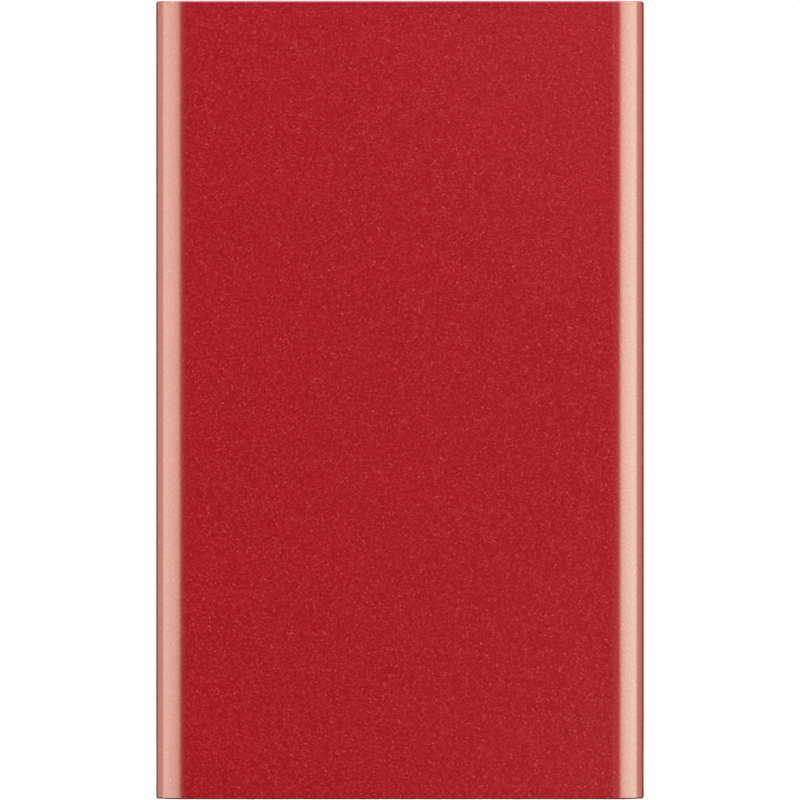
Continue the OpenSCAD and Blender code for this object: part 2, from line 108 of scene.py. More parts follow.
class PlayerSizes(bpy.types.PropertyGroup):
    edge_radius: length("Edge radius", "Rounding of the sleeve's four long edges", 3.3 * MM)
    wall: length("Wall", "Thickness of the sleeve's wall", 0.9 * MM)
    rim_chamfer: length("Rim chamfer", "Chamfer round the sleeve's two open ends", 0.12 * MM)
    opening_chamfer: length("Opening chamfer", "Cut edge round the window and the ring", 0.16 * MM)
    window_width: length("Window width", "Width of the display's window", 39.6 * MM)
    window_height: length("Window height", "Height of the display's window", 30 * MM)
    window_radius: length("Window radius", "Corner radius of the display's window", 1.2 * MM)
    ring_diameter: length("Ring diameter", "Diameter of the control ring", 29 * MM)
    button_diameter: length("Button diameter", "Diameter of the centre button", 10.8 * MM)
    control_gap: length("Control gap", "Gap round the ring and round the button", 0.2 * MM)
    dish_radius: length("Dish radius", "Radius of the hollow turned into the ring's face", 40 * MM)
    dish_depth: length("Dish depth", "Depth of the hollow in the ring's face", 0.2 * MM)
    crown_radius: length("Crown radius", "Radius of the centre button's domed face", 60 * MM)
    mark_size: length("Mark size", "Size of the symbols on the controls", 2.1 * MM)
    corner_steps: IntProperty(name="Corner steps", description="Faces round each quarter turn",
                              default=16, min=4, max=48)
    turn_steps: IntProperty(name="Turn steps", description="Faces round a full turn of the controls",
                            default=128, min=32, max=256)


class PlayerColours(bpy.types.PropertyGroup):
    sleeve: tint("Sleeve", "Dye of the anodised aluminium", "#96071A")
    button: tint("Centre button", "Dye of the anodised centre button", "#96071A")
    controls: tint("Controls", "Moulding of the control ring", "#1B1B1E")
    caps: tint("End caps", "Moulding of the two end caps", "#242427")
    marks: tint("Marks", "Ink of the symbols on the controls", "#D9DADC")
    hold_flag: tint("Hold flag", "Inlay that shows that the player is locked", "#F08A24")


class PlayerStudio(bpy.types.PropertyGroup):
    side_power: FloatProperty(name="Side panels", description="Brightness of the two side panels",
                              default=5.3, min=0.0)
    high_power: FloatProperty(name="High panels", description="Brightness of the two raised panels",
                              default=9.9, min=0.0)
    top_power: FloatProperty(name="Top panel", description="Brightness of the panel overhead",
                             default=1.6, min=0.0)
    side_distance: length("Side distance", "From the player to each side panel", 0.45)
    side_height: length("Side height", "Height of each side panel", 0.22)


def sizes():
    return bpy.context.scene.player_sizes


def colours():
    return bpy.context.scene.player_colours


def studio():
    return bpy.context.scene.player_studio


# ---------- mesh building ----------


def rounded_loop(bm, width, height, radius, place):
    """Closed loop of edges round a rectangle with round corners, put in place; returns its edges."""
    before = set(bm.edges)
    start = bmesh.ops.create_grid(bm, x_segments=1, y_segments=1, size=0.5,
                                  matrix=Matrix.Diagonal((width, height, 1.0, 1.0)))
    bmesh.ops.bevel(bm, geom=start["verts"], offset=radius, offset_type="OFFSET", affect="VERTICES",
                    segments=sizes().corner_steps, profile=0.5, material=-1)
    loop = [edge for edge in bm.edges if edge not in before]
    face = list({face for edge in loop for face in edge.link_faces})
    bmesh.ops.delete(bm, geom=face, context="FACES_ONLY")
    bmesh.ops.transform(bm, matrix=place, verts=ends_of(loop))
    return loop


def round_loop(bm, radius, place):
    """Closed loop of edges round a circle, put in place; returns its edges."""
    start = bmesh.ops.create_circle(bm, segments=sizes().turn_steps, radius=radius, cap_ends=False)
    loop = list({edge for vert in start["verts"] for edge in vert.link_edges})
    bmesh.ops.transform(bm, matrix=place, verts=start["verts"])
    return loop


def ends_of(edges):
    return list({vert for edge in edges for vert in edge.verts})


def in_one_plane(edges):
    """True if the edges all lie at one height or at one level."""
    points = [vert.co for vert in ends_of(edges)]
    return any(max(point[axis] for point in points) - min(point[axis] for point in points) < 1e-7
               for axis in (1, 2))


def bridge(bm, loops):
    """Skins each loop to the next one, with a flat ring between two loops in one plane."""
    for one, other in zip(loops, loops[1:]):
        if in_one_plane(one + other):
            fill(bm, one, other)
        else:
            bmesh.ops.bridge_loops(bm, edges=one + other)


def fill(bm, *loops):
    """Flat faces between an outer loop and the loops inside it."""
    bmesh.ops.triangle_fill(bm, edges=[edge for loop in loops for edge in loop], use_beauty=True)


def fillet(radius, steps=4):
    """(inward, downward) moves from a face's edge round a convex fillet, from the wall to the face."""
    turns = [math.radians(90) * i / steps for i in range(steps + 1)]
    return [(radius * (1 - math.cos(turn)), radius * (1 - math.sin(turn))) for turn in turns]


def turned(bm, profile, centre):
    """Skin of a profile of (radius, level) points, turned once about the ring's axis."""
    verts = [bm.verts.new((centre.x + radius, -level, centre.z)) for radius, level in profile]
    edges = [bm.edges.new(pair) for pair in zip(verts, verts[1:])]
    bmesh.ops.spin(bm, geom=verts + edges, cent=centre, axis=(0, 1, 0), angle=math.tau,
                   steps=sizes().turn_steps, use_merge=True, use_duplicate=False)
    bmesh.ops.remove_doubles(bm, verts=bm.verts, dist=1e-7)


def soften(bm, edges, width, segments=3):
    """Rounds sharp edges by a small fillet."""
    bmesh.ops.bevel(bm, geom=edges, offset=width, offset_type="OFFSET", affect="EDGES",
                    segments=segments, profile=0.5, material=-1, clamp_overlap=True)


def sharp_edges(bm, degrees=50.0):
    return [edge for edge in bm.edges
            if len(edge.link_faces) == 2 and edge.calc_face_angle(0.0) > math.radians(degrees)]


def block(bm, low, high):
    """Box between two corners; returns its vertices."""
    low, high = Vector(low), Vector(high)
    size = high - low
    place = Matrix.Translation((low + high) / 2) @ Matrix.Diagonal((*size, 1.0))
    return bmesh.ops.create_cube(bm, size=1.0, matrix=place)["verts"]


def piece(name, bm, material, body, stands_for=(), crease=35.0):
    """Finishes a mesh as an object that rides on a body and stands for CAD nodes."""
    bm.normal_update()
    bmesh.ops.recalc_face_normals(bm, faces=bm.faces)
    if bm.calc_volume(signed=True) < 0:
        bmesh.ops.reverse_faces(bm, faces=bm.faces)
    mesh = bpy.data.meshes.new(name)
    bm.to_mesh(mesh)
    bm.free()
    mesh.polygons.foreach_set("use_smooth", [True] * len(mesh.polygons))
    mesh.set_sharp_from_angle(angle=math.radians(crease))
    mesh.materials.append(material)
    made = bpy.data.objects.new(name, mesh)
    bpy.context.scene.collection.objects.link(made)
    even = made.modifiers.new("Even shading", "WEIGHTED_NORMAL")
    even.keep_sharp = True
    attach(made, body)
    if stands_for:
        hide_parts(*stands_for)
    return made


def dress(material, *nodes):
    """Gives CAD nodes a material."""
    for name in nodes:
        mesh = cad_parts[name].data
        mesh.materials.clear()
        mesh.materials.append(material)


# ---------- materials ----------


def add(tree, kind, settings=None, links=None):
    """Adds a shader node, with settings for its properties and sockets, and links into its sockets."""
    made = tree.nodes.new("ShaderNode" + kind)
    for name, value in (settings or {}).items():
        if isinstance(name, int) or name in made.inputs:
            made.inputs[name].default_value = value
        else:
            setattr(made, name, value)
    for name, source in (links or {}).items():
        tree.links.new(source, made.inputs[name])
    return made


def surface(name, low, high, patch, grain, relief, rough, sockets=None):
    """Material whose colour drifts between two tones over patches, and whose fine grain lifts the
    surface and spreads its roughness. The patch and the grain are in millimetres, the relief in
    metres. Returns the material, its tree, its shader and its millimetre coordinates."""
    material = bpy.data.materials.new(name)
    material.use_nodes = True
    tree = material.node_tree
    shader = tree.nodes["Principled BSDF"]
    place = add(tree, "TexCoord")
    scaled = add(tree, "Mapping", {"Scale": (1 / MM,) * 3}, {"Vector": place.outputs["Object"]})
    mm = scaled.outputs["Vector"]
    drift = add(tree, "TexNoise", {"Scale": 1 / patch, "Detail": 2.0}, {"Vector": mm})
    fine = add(tree, "TexNoise", {"Scale": 1 / grain, "Detail": 1.0}, {"Vector": mm})
    tone = add(tree, "Mix", {"data_type": "RGBA", 6: low, 7: high}, {0: drift.outputs["Fac"]})
    spread = add(tree, "MapRange", {"To Min": rough[0], "To Max": rough[1]},
                 {"Value": fine.outputs["Fac"]})
    bump = add(tree, "Bump", {"Strength": 1.0, "Distance": relief}, {"Height": fine.outputs["Fac"]})
    tree.links.new(tone.outputs[2], shader.inputs["Base Color"])
    tree.links.new(spread.outputs["Result"], shader.inputs["Roughness"])
    tree.links.new(bump.outputs["Normal"], shader.inputs["Normal"])
    for socket, value in (sockets or {}).items():
        shader.inputs[socket].default_value = value
    return material, tree, shader, mm


def shade(base, factor):
    """A colour made darker or lighter."""
    return (*[min(1.0, channel * factor) for channel in base[:3]], 1.0)


# Linear colour that a bead mark adds to the dye, or takes from it: the red part is grain in the dye, the
# paler green and blue parts are painted glints standing in for light off the bead marks
GRAIN_AND_PAINTED_GLINT = (0.044, 0.0088, 0.0098)


def anodised_aluminium(name, dye):
    """Extruded aluminium, blasted with glass beads, then dyed and sealed by anodising. The eye sees
    a deep, even colour with a fine grain, and soft pale bands where it turns to a light. The grain's pale
    specks are painted glints in the base colour. Real bead marks are about 0.1 mm across; they are drawn at
    0.2 to 0.28 mm, so that they show."""
    material, tree, shader, mm = surface(
        name, shade(dye, 0.95), shade(dye, 1.04), 9.0, 0.28, 3.2e-6, (0.40, 0.60),
        {"Metallic": 0.04, "Specular IOR Level": 0.0, "Coat Weight": 1.0, "Coat IOR": 1.9,
         "Coat Roughness": 0.27})
    # speck: its swing in red is grain in the dye, its lift in green and blue is painted glint
    peen = add(tree, "TexNoise", {"Scale": 1 / 0.21, "Detail": 2.0, "Roughness": 0.6}, {"Vector": mm})
    speck = add(tree, "MapRange", {"From Min": 0.30, "From Max": 0.70, "To Min": -1.0, "To Max": 1.0},
                {"Value": peen.outputs["Fac"]})
    # painted glints: rare pale specks in the base colour, standing in for light glinting off bead marks
    painted_glint_spots = add(tree, "TexNoise", {"Scale": 1 / 0.2, "Detail": 0.0}, {"Vector": mm})
    painted_glint = add(tree, "MapRange", {"From Min": 0.72, "From Max": 0.82, "To Min": 0.0, "To Max": 2.5},
                {"Value": painted_glint_spots.outputs["Fac"]})
    total = add(tree, "Math", {"operation": "ADD"}, {0: speck.outputs["Result"], 1: painted_glint.outputs["Result"]})
    tone = shader.inputs["Base Color"].links[0].from_socket
    # adds grain and painted glints to the dye's base colour
    grained = add(tree, "VectorMath", {"operation": "MULTIPLY_ADD", 1: GRAIN_AND_PAINTED_GLINT},
                  {0: total.outputs[0], 2: tone})
    tree.links.new(grained.outputs["Vector"], shader.inputs["Base Color"])
    bump = shader.inputs["Normal"].links[0].from_socket
    tree.links.new(bump, shader.inputs["Coat Normal"])
    return material


def moulded_plastic(name, base, gloss=0.45):
    """ABS moulded in an eroded tool. The eye sees a satin skin with a very fine, even tooth."""
    return surface(name, shade(base, 0.85), shade(base, 1.15), 5.0, 0.12, 2.5e-6,
                   (gloss - 0.07, gloss + 0.1))[0]


def printed_ink(name, base):
    """Screen-printed ink on a moulded part. The eye sees a flat, slightly dry colour with soft pores."""
    return surface(name, shade(base, 0.92), shade(base, 1.04), 1.5, 0.08, 1.5e-6, (0.42, 0.6))[0]


def cast_acrylic(name):
    """Clear cast acrylic, polished on both faces and hard coated. The eye sees through it to the
    black print, under a sharp, very slightly wavy reflection."""
    return surface(name, colour("#EEF1F2"), colour("#F8FAFA"), 12.0, 9.0, 0.05e-6, (0.015, 0.04),
                   {"Transmission Weight": 1.0, "IOR": 1.49})[0]


def back_print(name):
    """Black ink printed on the back of the lens. The eye sees an even, deep black frame."""
    return surface(name, colour("#08080A"), colour("#0B0B0D"), 4.0, 0.3, 0.5e-6, (0.25, 0.4))[0]


def liquid_crystal_glass(name):
    """Laminated display glass that is switched off. The eye sees a dark slate panel, smoother than
    the ink round it, with a faint grid. The real cells are 0.12 mm; they are drawn at 0.6 mm."""
    material, tree, shader, mm = surface(name, colour("#22272D"), colour("#2A3037"), 14.0, 1.2, 0.3e-6,
                                         (0.10, 0.20), {"Coat Weight": 0.4, "Coat Roughness": 0.05})
    tone = shader.inputs["Base Color"].links[0].from_socket
    cells = add(tree, "TexBrick", {"offset": 0.0, "Scale": 1.0, "Mortar Size": 0.06,
                                   "Brick Width": 0.6, "Row Height": 0.6, "Mortar": colour("#20252B")},
                {"Color1": tone, "Color2": tone})
    upright = add(tree, "Mapping", {"vector_type": "POINT", "Rotation": (math.radians(90), 0, 0)},
                  {"Vector": mm})
    tree.links.new(upright.outputs["Vector"], cells.inputs["Vector"])
    tree.links.new(cells.outputs["Color"], shader.inputs["Base Color"])
    return material


def rolled_steel(name, low="#9EA1A5", high="#B9BCC0", rough=(0.24, 0.38), grain=0.35):
    """Cold-rolled steel sheet, plated. The eye sees a cool grey metal with fine rolling lines."""
    material, tree, _, mm = surface(name, colour(low), colour(high), 6.0, grain, 1.2e-6, rough,
                                    {"Metallic": 1.0})
    lines = add(tree, "Mapping", {"Scale": (1.0, 1.0, 0.06)}, {"Vector": mm})
    fine = [made for made in tree.nodes if made.bl_idname == "ShaderNodeTexNoise"]
    for made in fine[1:]:
        tree.links.new(lines.outputs["Vector"], made.inputs["Vector"])
    return material


def die_cast(name):
    """Die-cast aluminium, tumbled. The eye sees a dull grey metal with cloudy flow marks and grit."""
    return surface(name, colour("#85888C"), colour("#A5A8AC"), 4.0, 0.4, 6e-6, (0.38, 0.6),
                   {"Metallic": 1.0})[0]


def turned_metal(name, low, high, rough=(0.2, 0.34)):
    """Machined metal, such as a screw or a collar. The eye sees bright metal with fine tool marks."""
    return surface(name, colour(low), colour(high), 1.2, 0.15, 1.0e-6, rough, {"Metallic": 1.0})[0]


def clear_anodised_aluminium(name):
    """Machined aluminium with a clear anodised skin. The eye sees pale satin metal, finely frosted."""
    return surface(name, colour("#7E8185"), colour("#94979B"), 2.0, 0.14, 1.6e-6, (0.34, 0.5),
                   {"Metallic": 1.0, "Coat Weight": 0.3, "Coat Roughness": 0.3})[0]


def closed_cell_foam(name):
    """Closed-cell foam, die cut. The eye sees a soft black body with open cells along its cut."""
    material, tree, shader, mm = surface(name, colour("#141416"), colour("#26262A"), 1.0, 0.3, 2.0e-5,
                                         (0.75, 0.95))
    cells = add(tree, "TexVoronoi", {"Scale": 1 / 0.35}, {"Vector": mm})
    relief = add(tree, "Bump", {"Strength": 1.0, "Distance": 3.0e-5}, {"Height": cells.outputs["Distance"]})
    tree.links.new(relief.outputs["Normal"], shader.inputs["Normal"])
    return material


def light_guide(name):
    """Moulded acrylic light guide under a diffusing film. The eye sees a milky white satin sheet."""
    return surface(name, colour("#DEDED8"), colour("#EFEFEA"), 8.0, 0.2, 1.0e-6, (0.25, 0.4),
                   {"Subsurface Weight": 0.2, "Subsurface Radius": (0.001, 0.001, 0.001)})[0]


def polyimide(name, copper=True):
    """Polyimide film, over copper tracks where it is a circuit. The eye sees glossy amber, with
    pale lines that run along it. Real tracks are 0.1 mm wide; they are drawn at 0.35 mm."""
    material, tree, shader, mm = surface(name, colour("#A8641A"), colour("#C58228"), 3.0, 0.5, 1.5e-6,
                                         (0.14, 0.28), {"Coat Weight": 0.4, "Coat Roughness": 0.1})
    if copper:
        tracks = add(tree, "TexWave", {"wave_type": "BANDS", "bands_direction": "X", "Scale": 0.45,
                                       "Distortion": 0.0}, {"Vector": mm})
        step = add(tree, "MapRange", {"From Min": 0.45, "From Max": 0.55},
                   {"Value": tracks.outputs["Fac"]})
        tone = shader.inputs["Base Color"].links[0].from_socket
        both = add(tree, "Mix", {"data_type": "RGBA", 7: colour("#DCA35C")},
                   {0: step.outputs["Result"], 6: tone})
        tree.links.new(both.outputs[2], shader.inputs["Base Color"])
    return material


def solder_mask(name):
    """Glass-fibre board under green solder mask. The eye sees a glossy dark green with paler copper
    tracks under the lacquer. Real tracks are 0.1 mm wide; they are drawn at 0.4 mm."""
    material, tree, shader, mm = surface(name, colour("#0B3322"), colour("#0F4630"), 6.0, 0.4, 1.5e-6,
                                         (0.16, 0.32), {"Coat Weight": 0.5, "Coat Roughness": 0.12})
    tracks = add(tree, "TexVoronoi", {"distance": "MANHATTAN", "feature": "F1", "Scale": 1 / 2.4},
                 {"Vector": mm})
    rings = add(tree, "Math", {"operation": "PINGPONG", 1: 0.16}, {0: tracks.outputs["Distance"]})
    step = add(tree, "MapRange", {"From Min": 0.075, "From Max": 0.085},
               {"Value": rings.outputs["Value"]})
    tone = shader.inputs["Base Color"].links[0].from_socket
    both = add(tree, "Mix", {"data_type": "RGBA", 7: colour("#1E6A49")}, {0: step.outputs["Result"], 6: tone})
    lift = add(tree, "Bump", {"Strength": 1.0, "Distance": 2.0e-5}, {"Height": step.outputs["Result"]})
    tree.links.new(both.outputs[2], shader.inputs["Base Color"])
    tree.links.new(lift.outputs["Normal"], shader.inputs["Normal"])
    return material


def moulded_epoxy(name):
    """Epoxy chip package. The eye sees a dull charcoal block with a gritty moulded top."""
    return surface(name, colour("#17171A"), colour("#222226"), 2.5, 0.1, 4e-6, (0.5, 0.72))[0]


def fired_ceramic(name):
    """Ceramic chip parts with tinned ends. The eye sees tan bodies that turn to dull silver in places."""
    material, tree, shader, mm = surface(name, colour("#8C6F4C"), colour("#B79B74"), 0.9, 0.15, 3e-6,
                                         (0.3, 0.5))
    ends = add(tree, "TexNoise", {"Scale": 1 / 0.8, "Detail": 0.0}, {"Vector": mm})
    step = add(tree, "MapRange", {"From Min": 0.54, "From Max": 0.58}, {"Value": ends.outputs["Fac"]})
    tone = shader.inputs["Base Color"].links[0].from_socket
    both = add(tree, "Mix", {"data_type": "RGBA", 7: colour("#C2C3C6")}, {0: step.outputs["Result"], 6: tone})
    tree.links.new(both.outputs[2], shader.inputs["Base Color"])
    tree.links.new(step.outputs["Result"], shader.inputs["Metallic"])
    return material


def moulded_nylon(name):
    """Nylon socket housing. The eye sees a warm off-white that lets a little light in."""
    return surface(name, colour("#DDD8C9"), colour("#EBE7DB"), 2.0, 0.12, 2e-6, (0.35, 0.5),
                   {"Subsurface Weight": 0.15, "Subsurface Radius": (0.0005, 0.0005, 0.0005)})[0]


def laminated_foil(name):
    """Aluminium foil pouch of a lithium cell. The eye sees dull silver, softly dented and creased."""
    material, tree, shader, mm = surface(name, colour("#A6A8AB"), colour("#C3C5C8"), 8.0, 0.6, 2e-6,
                                         (0.24, 0.42), {"Metallic": 1.0})
    dents = add(tree, "TexNoise", {"Scale": 1 / 5.0, "Detail": 3.0}, {"Vector": mm})
    relief = add(tree, "Bump", {"Strength": 1.0, "Distance": 1.2e-4}, {"Height": dents.outputs["Fac"]})
    tree.links.new(relief.outputs["Normal"], shader.inputs["Normal"])
    return material


def silicone_rubber(name, low, high):
    """Silicone insulation of a lead. The eye sees a soft, slightly waxy colour."""
    return surface(name, colour(low), colour(high), 1.5, 0.2, 2e-6, (0.38, 0.55))[0]


# ---------- operators ----------


class PLAYER_OT_sleeve(bpy.types.Operator):
    """Builds the anodised sleeve with its window and its hole for the control ring"""
    bl_idname = "player.sleeve"
    bl_label = "Sleeve"
    bl_options = {"REGISTER", "UNDO"}

    def execute(self, context):
        s = sizes()
        low, high = corners("sleeve")
        width, depth = high.x - low.x, high.y - low.y
        bm = bmesh.new()

        def tube_loop(inset, height):
            return rounded_loop(bm, width - 2 * inset, depth - 2 * inset, s.edge_radius - inset,
                                Matrix.Translation((0, 0, height)))

        chamfer, wall = s.rim_chamfer, s.wall
        outside = [tube_loop(0, low.z + chamfer), tube_loop(0, high.z - chamfer)]
        inside = [tube_loop(wall, high.z - chamfer / 2), tube_loop(wall, low.z + chamfer / 2)]
        rims = [[tube_loop(chamfer, height), tube_loop(wall - chamfer / 2, height)]
                for height in (high.z, low.z)]
        bridge(bm, [outside[0], outside[1], rims[0][0], rims[0][1], inside[0], inside[1],
                    rims[1][1], rims[1][0], outside[0]])
        # the two flat faces on the display side are opened and filled again round the window and ring
        flats = [face for face in bm.faces if face.normal.y ** 2 > 0.99 and face.calc_center_median().y < 0
                 and face.calc_area() > 0.5 * (width - 2 * s.edge_radius) * (high.z - low.z)]
        borders = {face.calc_center_median().y < low.y + wall / 2: list(face.edges) for face in flats}
        bmesh.ops.delete(bm, geom=flats, context="FACES_ONLY")
        window, ring = middle("display_lens"), middle("nav_ring")
        cut = s.opening_chamfer
        openings = []
        for growth, level in ((cut, -low.y), (0, -low.y - cut), (0, -low.y - wall)):
            openings.append((
                rounded_loop(bm, s.window_width + 2 * growth, s.window_height + 2 * growth,
                             s.window_radius + growth,
                             Matrix.Translation((window.x, -level, window.z)) @ FACING_DISPLAY),
                round_loop(bm, s.ring_diameter / 2 + s.control_gap + growth,
                           Matrix.Translation((ring.x, -level, ring.z)) @ FACING_DISPLAY)))
        for loops in zip(*openings):
            bridge(bm, list(loops))
        fill(bm, borders[True], *openings[0])
        fill(bm, borders[False], *openings[-1])
        piece("sleeve_shell", bm, anodised_aluminium("red_anodised_aluminium", colours().sleeve), "root",
              ["sleeve"])
        return {"FINISHED"}


class PLAYER_OT_end_caps(bpy.types.Operator):
    """Builds the two moulded end caps, with the openings for the hold slider and the sockets"""
    bl_idname = "player.end_caps"
    bl_label = "End caps"
    bl_options = {"REGISTER", "UNDO"}

    def execute(self, context):
        plastic = moulded_plastic("moulded_cap_plastic", (*colours().caps, 1.0), 0.5)
        self.top_cap(plastic)
        self.bottom_cap(plastic)
        return {"FINISHED"}

    def plug(self, bm, node, outward):
        """Skins the cap's outer wall, rounded towards its outward face; returns its two end loops."""
        low, high = corners(node)
        face, back = (high.z, low.z) if outward > 0 else (low.z, high.z)
        width, depth = high.x - low.x, high.y - low.y
        fit, round_off = 0.05 * MM, 0.3 * MM
        radius = sizes().edge_radius - sizes().wall - fit

        def loop(inset, height):
            return rounded_loop(bm, width - 2 * inset, depth - 2 * inset, radius - inset,
                                Matrix.Translation((0, 0, height)))

        loops = [loop(0, back)] + [loop(inset, face - outward * drop) for inset, drop in fillet(round_off)]
        bridge(bm, loops)
        return loops[0], loops[-1], face, back

    def top_cap(self, plastic):
        bm = bmesh.new()
        back_loop, face_loop, face, back = self.plug(bm, "top_cap", 1)
        mark_low, mark_high = corners("hold_mark")
        slot_w, slot_d, slot_r, floor = 9.3 * MM, 3.3 * MM, 1.5 * MM, mark_high.z
        neck_w, neck_d, neck_r, recess_r = 6.3 * MM, 2.0 * MM, 0.2 * MM, 0.02 * MM
        lip = 0.12 * MM

        def slot(growth, height):
            return rounded_loop(bm, slot_w + 2 * growth, slot_d + 2 * growth, slot_r + growth,
                                Matrix.Translation((0, 0, height)))

        def neck(height):
            return rounded_loop(bm, neck_w, neck_d, neck_r, Matrix.Translation((0, 0, height)))

        def recess(height):
            place = (mark_low + mark_high) / 2
            return rounded_loop(bm, mark_high.x - mark_low.x, mark_high.y - mark_low.y, recess_r,
                                Matrix.Translation((place.x, place.y, height)))

        walls = [slot(lip - a, face - b) for a, b in reversed(fillet(lip))] + [slot(0, floor)]
        bridge(bm, walls)
        through = [neck(floor), neck(back)]
        bridge(bm, through)
        pocket = [recess(floor), recess(mark_low.z)]
        bridge(bm, pocket)
        fill(bm, face_loop, walls[0])
        fill(bm, walls[-1], through[0], pocket[0])
        fill(bm, pocket[1])
        fill(bm, back_loop, through[1])
        piece("top_end_cap", bm, plastic, "root", ["top_cap"])

    def bottom_cap(self, plastic):
        bm = bmesh.new()
        back_loop, face_loop, face, back = self.plug(bm, "bottom_cap", -1)
        lip = 0.12 * MM
        lips = [(lip - a, b) for a, b in reversed(fillet(lip))]
        port_w, port_d = 9.1 * MM, 3.42 * MM

        def port(growth, height):
            return rounded_loop(bm, port_w + 2 * growth, port_d + 2 * growth,
                                port_d / 2 + growth - 0.005 * MM, Matrix.Translation((0, 0, height)))

        port_walls = [port(grow, face + drop) for grow, drop in lips] + [port(0, back)]
        bridge(bm, port_walls)
        faces, backs = [port_walls[0]], [port_walls[-1]]
        jack, screw_x, shoulder = middle("jack_collar").x, corners("bottom_screws")[1].x - 1.15 * MM, 1 * MM
        holes = [(jack, 2.65 * MM, 2.35 * MM)] + [(side * screw_x, 1.3 * MM, 0.8 * MM) for side in (-1, 1)]
        for x, wide, narrow in holes:
            path = [(wide + grow, face + drop) for grow, drop in lips]
            path += [(wide, shoulder), (narrow, shoulder), (narrow, back)]
            walls = [round_loop(bm, radius, Matrix.Translation((x, 0, height))) for radius, height in path]
            bridge(bm, walls)
            faces.append(walls[0])
            backs.append(walls[-1])
        fill(bm, face_loop, *faces)
        fill(bm, back_loop, *backs)
        piece("bottom_end_cap", bm, plastic, "root", ["bottom_cap"])


class PLAYER_OT_sockets(bpy.types.Operator):
    """Builds the charging socket's shell and the headphone socket's collar"""
    bl_idname = "player.sockets"
    bl_label = "Sockets"
    bl_options = {"REGISTER", "UNDO"}

    def execute(self, context):
        self.shell()
        self.collar()
        dress(moulded_plastic("moulded_socket_plastic", colour("#17171A"), 0.38), "usb_block", "jack_body")
        dress(turned_metal("gold_plated_contacts", "#C99A3A", "#E3BC62"), "usb_contacts", "jack_contacts")
        return {"FINISHED"}

    def shell(self):
        low, high = corners("usb_shell")
        width, depth, wall = 8.94 * MM, 3.26 * MM, 0.3 * MM
        centre = (low.y + high.y) / 2
        bm = bmesh.new()

        def loop(inset, height):
            return rounded_loop(bm, width - 2 * inset, depth - 2 * inset,
                                depth / 2 - inset - 0.005 * MM, Matrix.Translation((0, centre, height)))

        lip = 0.1 * MM
        mouth = [loop(inset, low.z + drop) for inset, drop in fillet(lip)]
        inner = [loop(wall - inset, low.z + drop) for inset, drop in reversed(fillet(lip))]
        floor = [loop(wall, high.z - 0.2 * MM)]
        outer = [loop(0, high.z)]
        bridge(bm, outer + mouth + inner + floor)
        fill(bm, outer[0])
        fill(bm, floor[0])
        tab_x, tab_w, tab_h, tab_front, tab_back = 5.05 * MM, 1.3 * MM, 1.1 * MM, 0.3 * MM, 0.5 * MM
        for side in (-1, 1):
            for z in (3.9 * MM, 6.0 * MM):
                block(bm, (side * tab_x - tab_w / 2, tab_front, z - tab_h / 2),
                      (side * tab_x + tab_w / 2, tab_back, z + tab_h / 2))
        piece("charging_socket_shell", bm, rolled_steel("nickel_plated_steel", "#AEB0B4", "#C9CBCE",
                                                        (0.16, 0.3)), "root", ["usb_shell"])

    def collar(self):
        low, high = corners("jack_collar")
        x, rim, neck, bore = middle("jack_collar").x, (high.x - low.x) / 2, 2.3 * MM, 1.8 * MM
        bm = bmesh.new()
        lip = 0.25 * MM
        shoulder = 1 * MM
        path = [(neck, high.z), (neck, shoulder), (rim, shoulder)]
        path += [(rim - inset, low.z + drop) for inset, drop in fillet(lip)]
        path += [(bore + lip, low.z), (bore, low.z + lip), (bore, high.z), (neck, high.z)]
        loops = [round_loop(bm, radius, Matrix.Translation((x, 0, height))) for radius, height in path]
        bridge(bm, loops)
        bmesh.ops.remove_doubles(bm, verts=bm.verts, dist=1e-7)
        piece("headphone_collar", bm, turned_metal("nickel_plated_brass", "#BFC1C5", "#D8DADD",
                                                   (0.14, 0.28)), "root", ["jack_collar"])


class PLAYER_OT_display(bpy.types.Operator):
    """Builds the display's lens and finishes the print, the gasket and the panel behind it"""
    bl_idname = "player.display"
    bl_label = "Display"
    bl_options = {"REGISTER", "UNDO"}

    def execute(self, context):
        s = sizes()
        low, high = corners("display_lens")
        place = (low + high) / 2
        face, back, seat = -low.y, -high.y, -low.y - s.wall
        gap, lip = 0.1 * MM, 0.1 * MM
        width, height = s.window_width - 2 * gap, s.window_height - 2 * gap
        flange = (high.x - low.x - width) / 2
        bm = bmesh.new()

        def loop(growth, level, radius):
            return rounded_loop(bm, width + 2 * growth, height + 2 * growth, radius,
                                Matrix.Translation((place.x, -level, place.z)) @ FACING_DISPLAY)

        radius = s.window_radius - gap
        loops = [loop(-inset, face - drop, radius - inset) for inset, drop in reversed(fillet(lip))]
        flange_r = 1.5 * MM
        loops += [loop(0, seat, radius), loop(flange, seat, flange_r), loop(flange, back, flange_r)]
        bridge(bm, loops)
        fill(bm, loops[0])
        fill(bm, loops[-1])
        piece("display_window", bm, cast_acrylic("cast_acrylic"), "root", ["display_lens"])
        dress(back_print("black_back_print"), "lens_print")
        dress(closed_cell_foam("closed_cell_foam"), "window_gasket")
        dress(rolled_steel("pressed_stainless", "#A9ABAF", "#C4C6C9"), "lcd_frame")
        dress(liquid_crystal_glass("laminated_display_glass"), "lcd_panel")
        dress(light_guide("light_guide_film"), "backlight")
        dress(polyimide("polyimide_circuit"), "lcd_flex", "key_flex", "switch_flex")
        return {"FINISHED"}


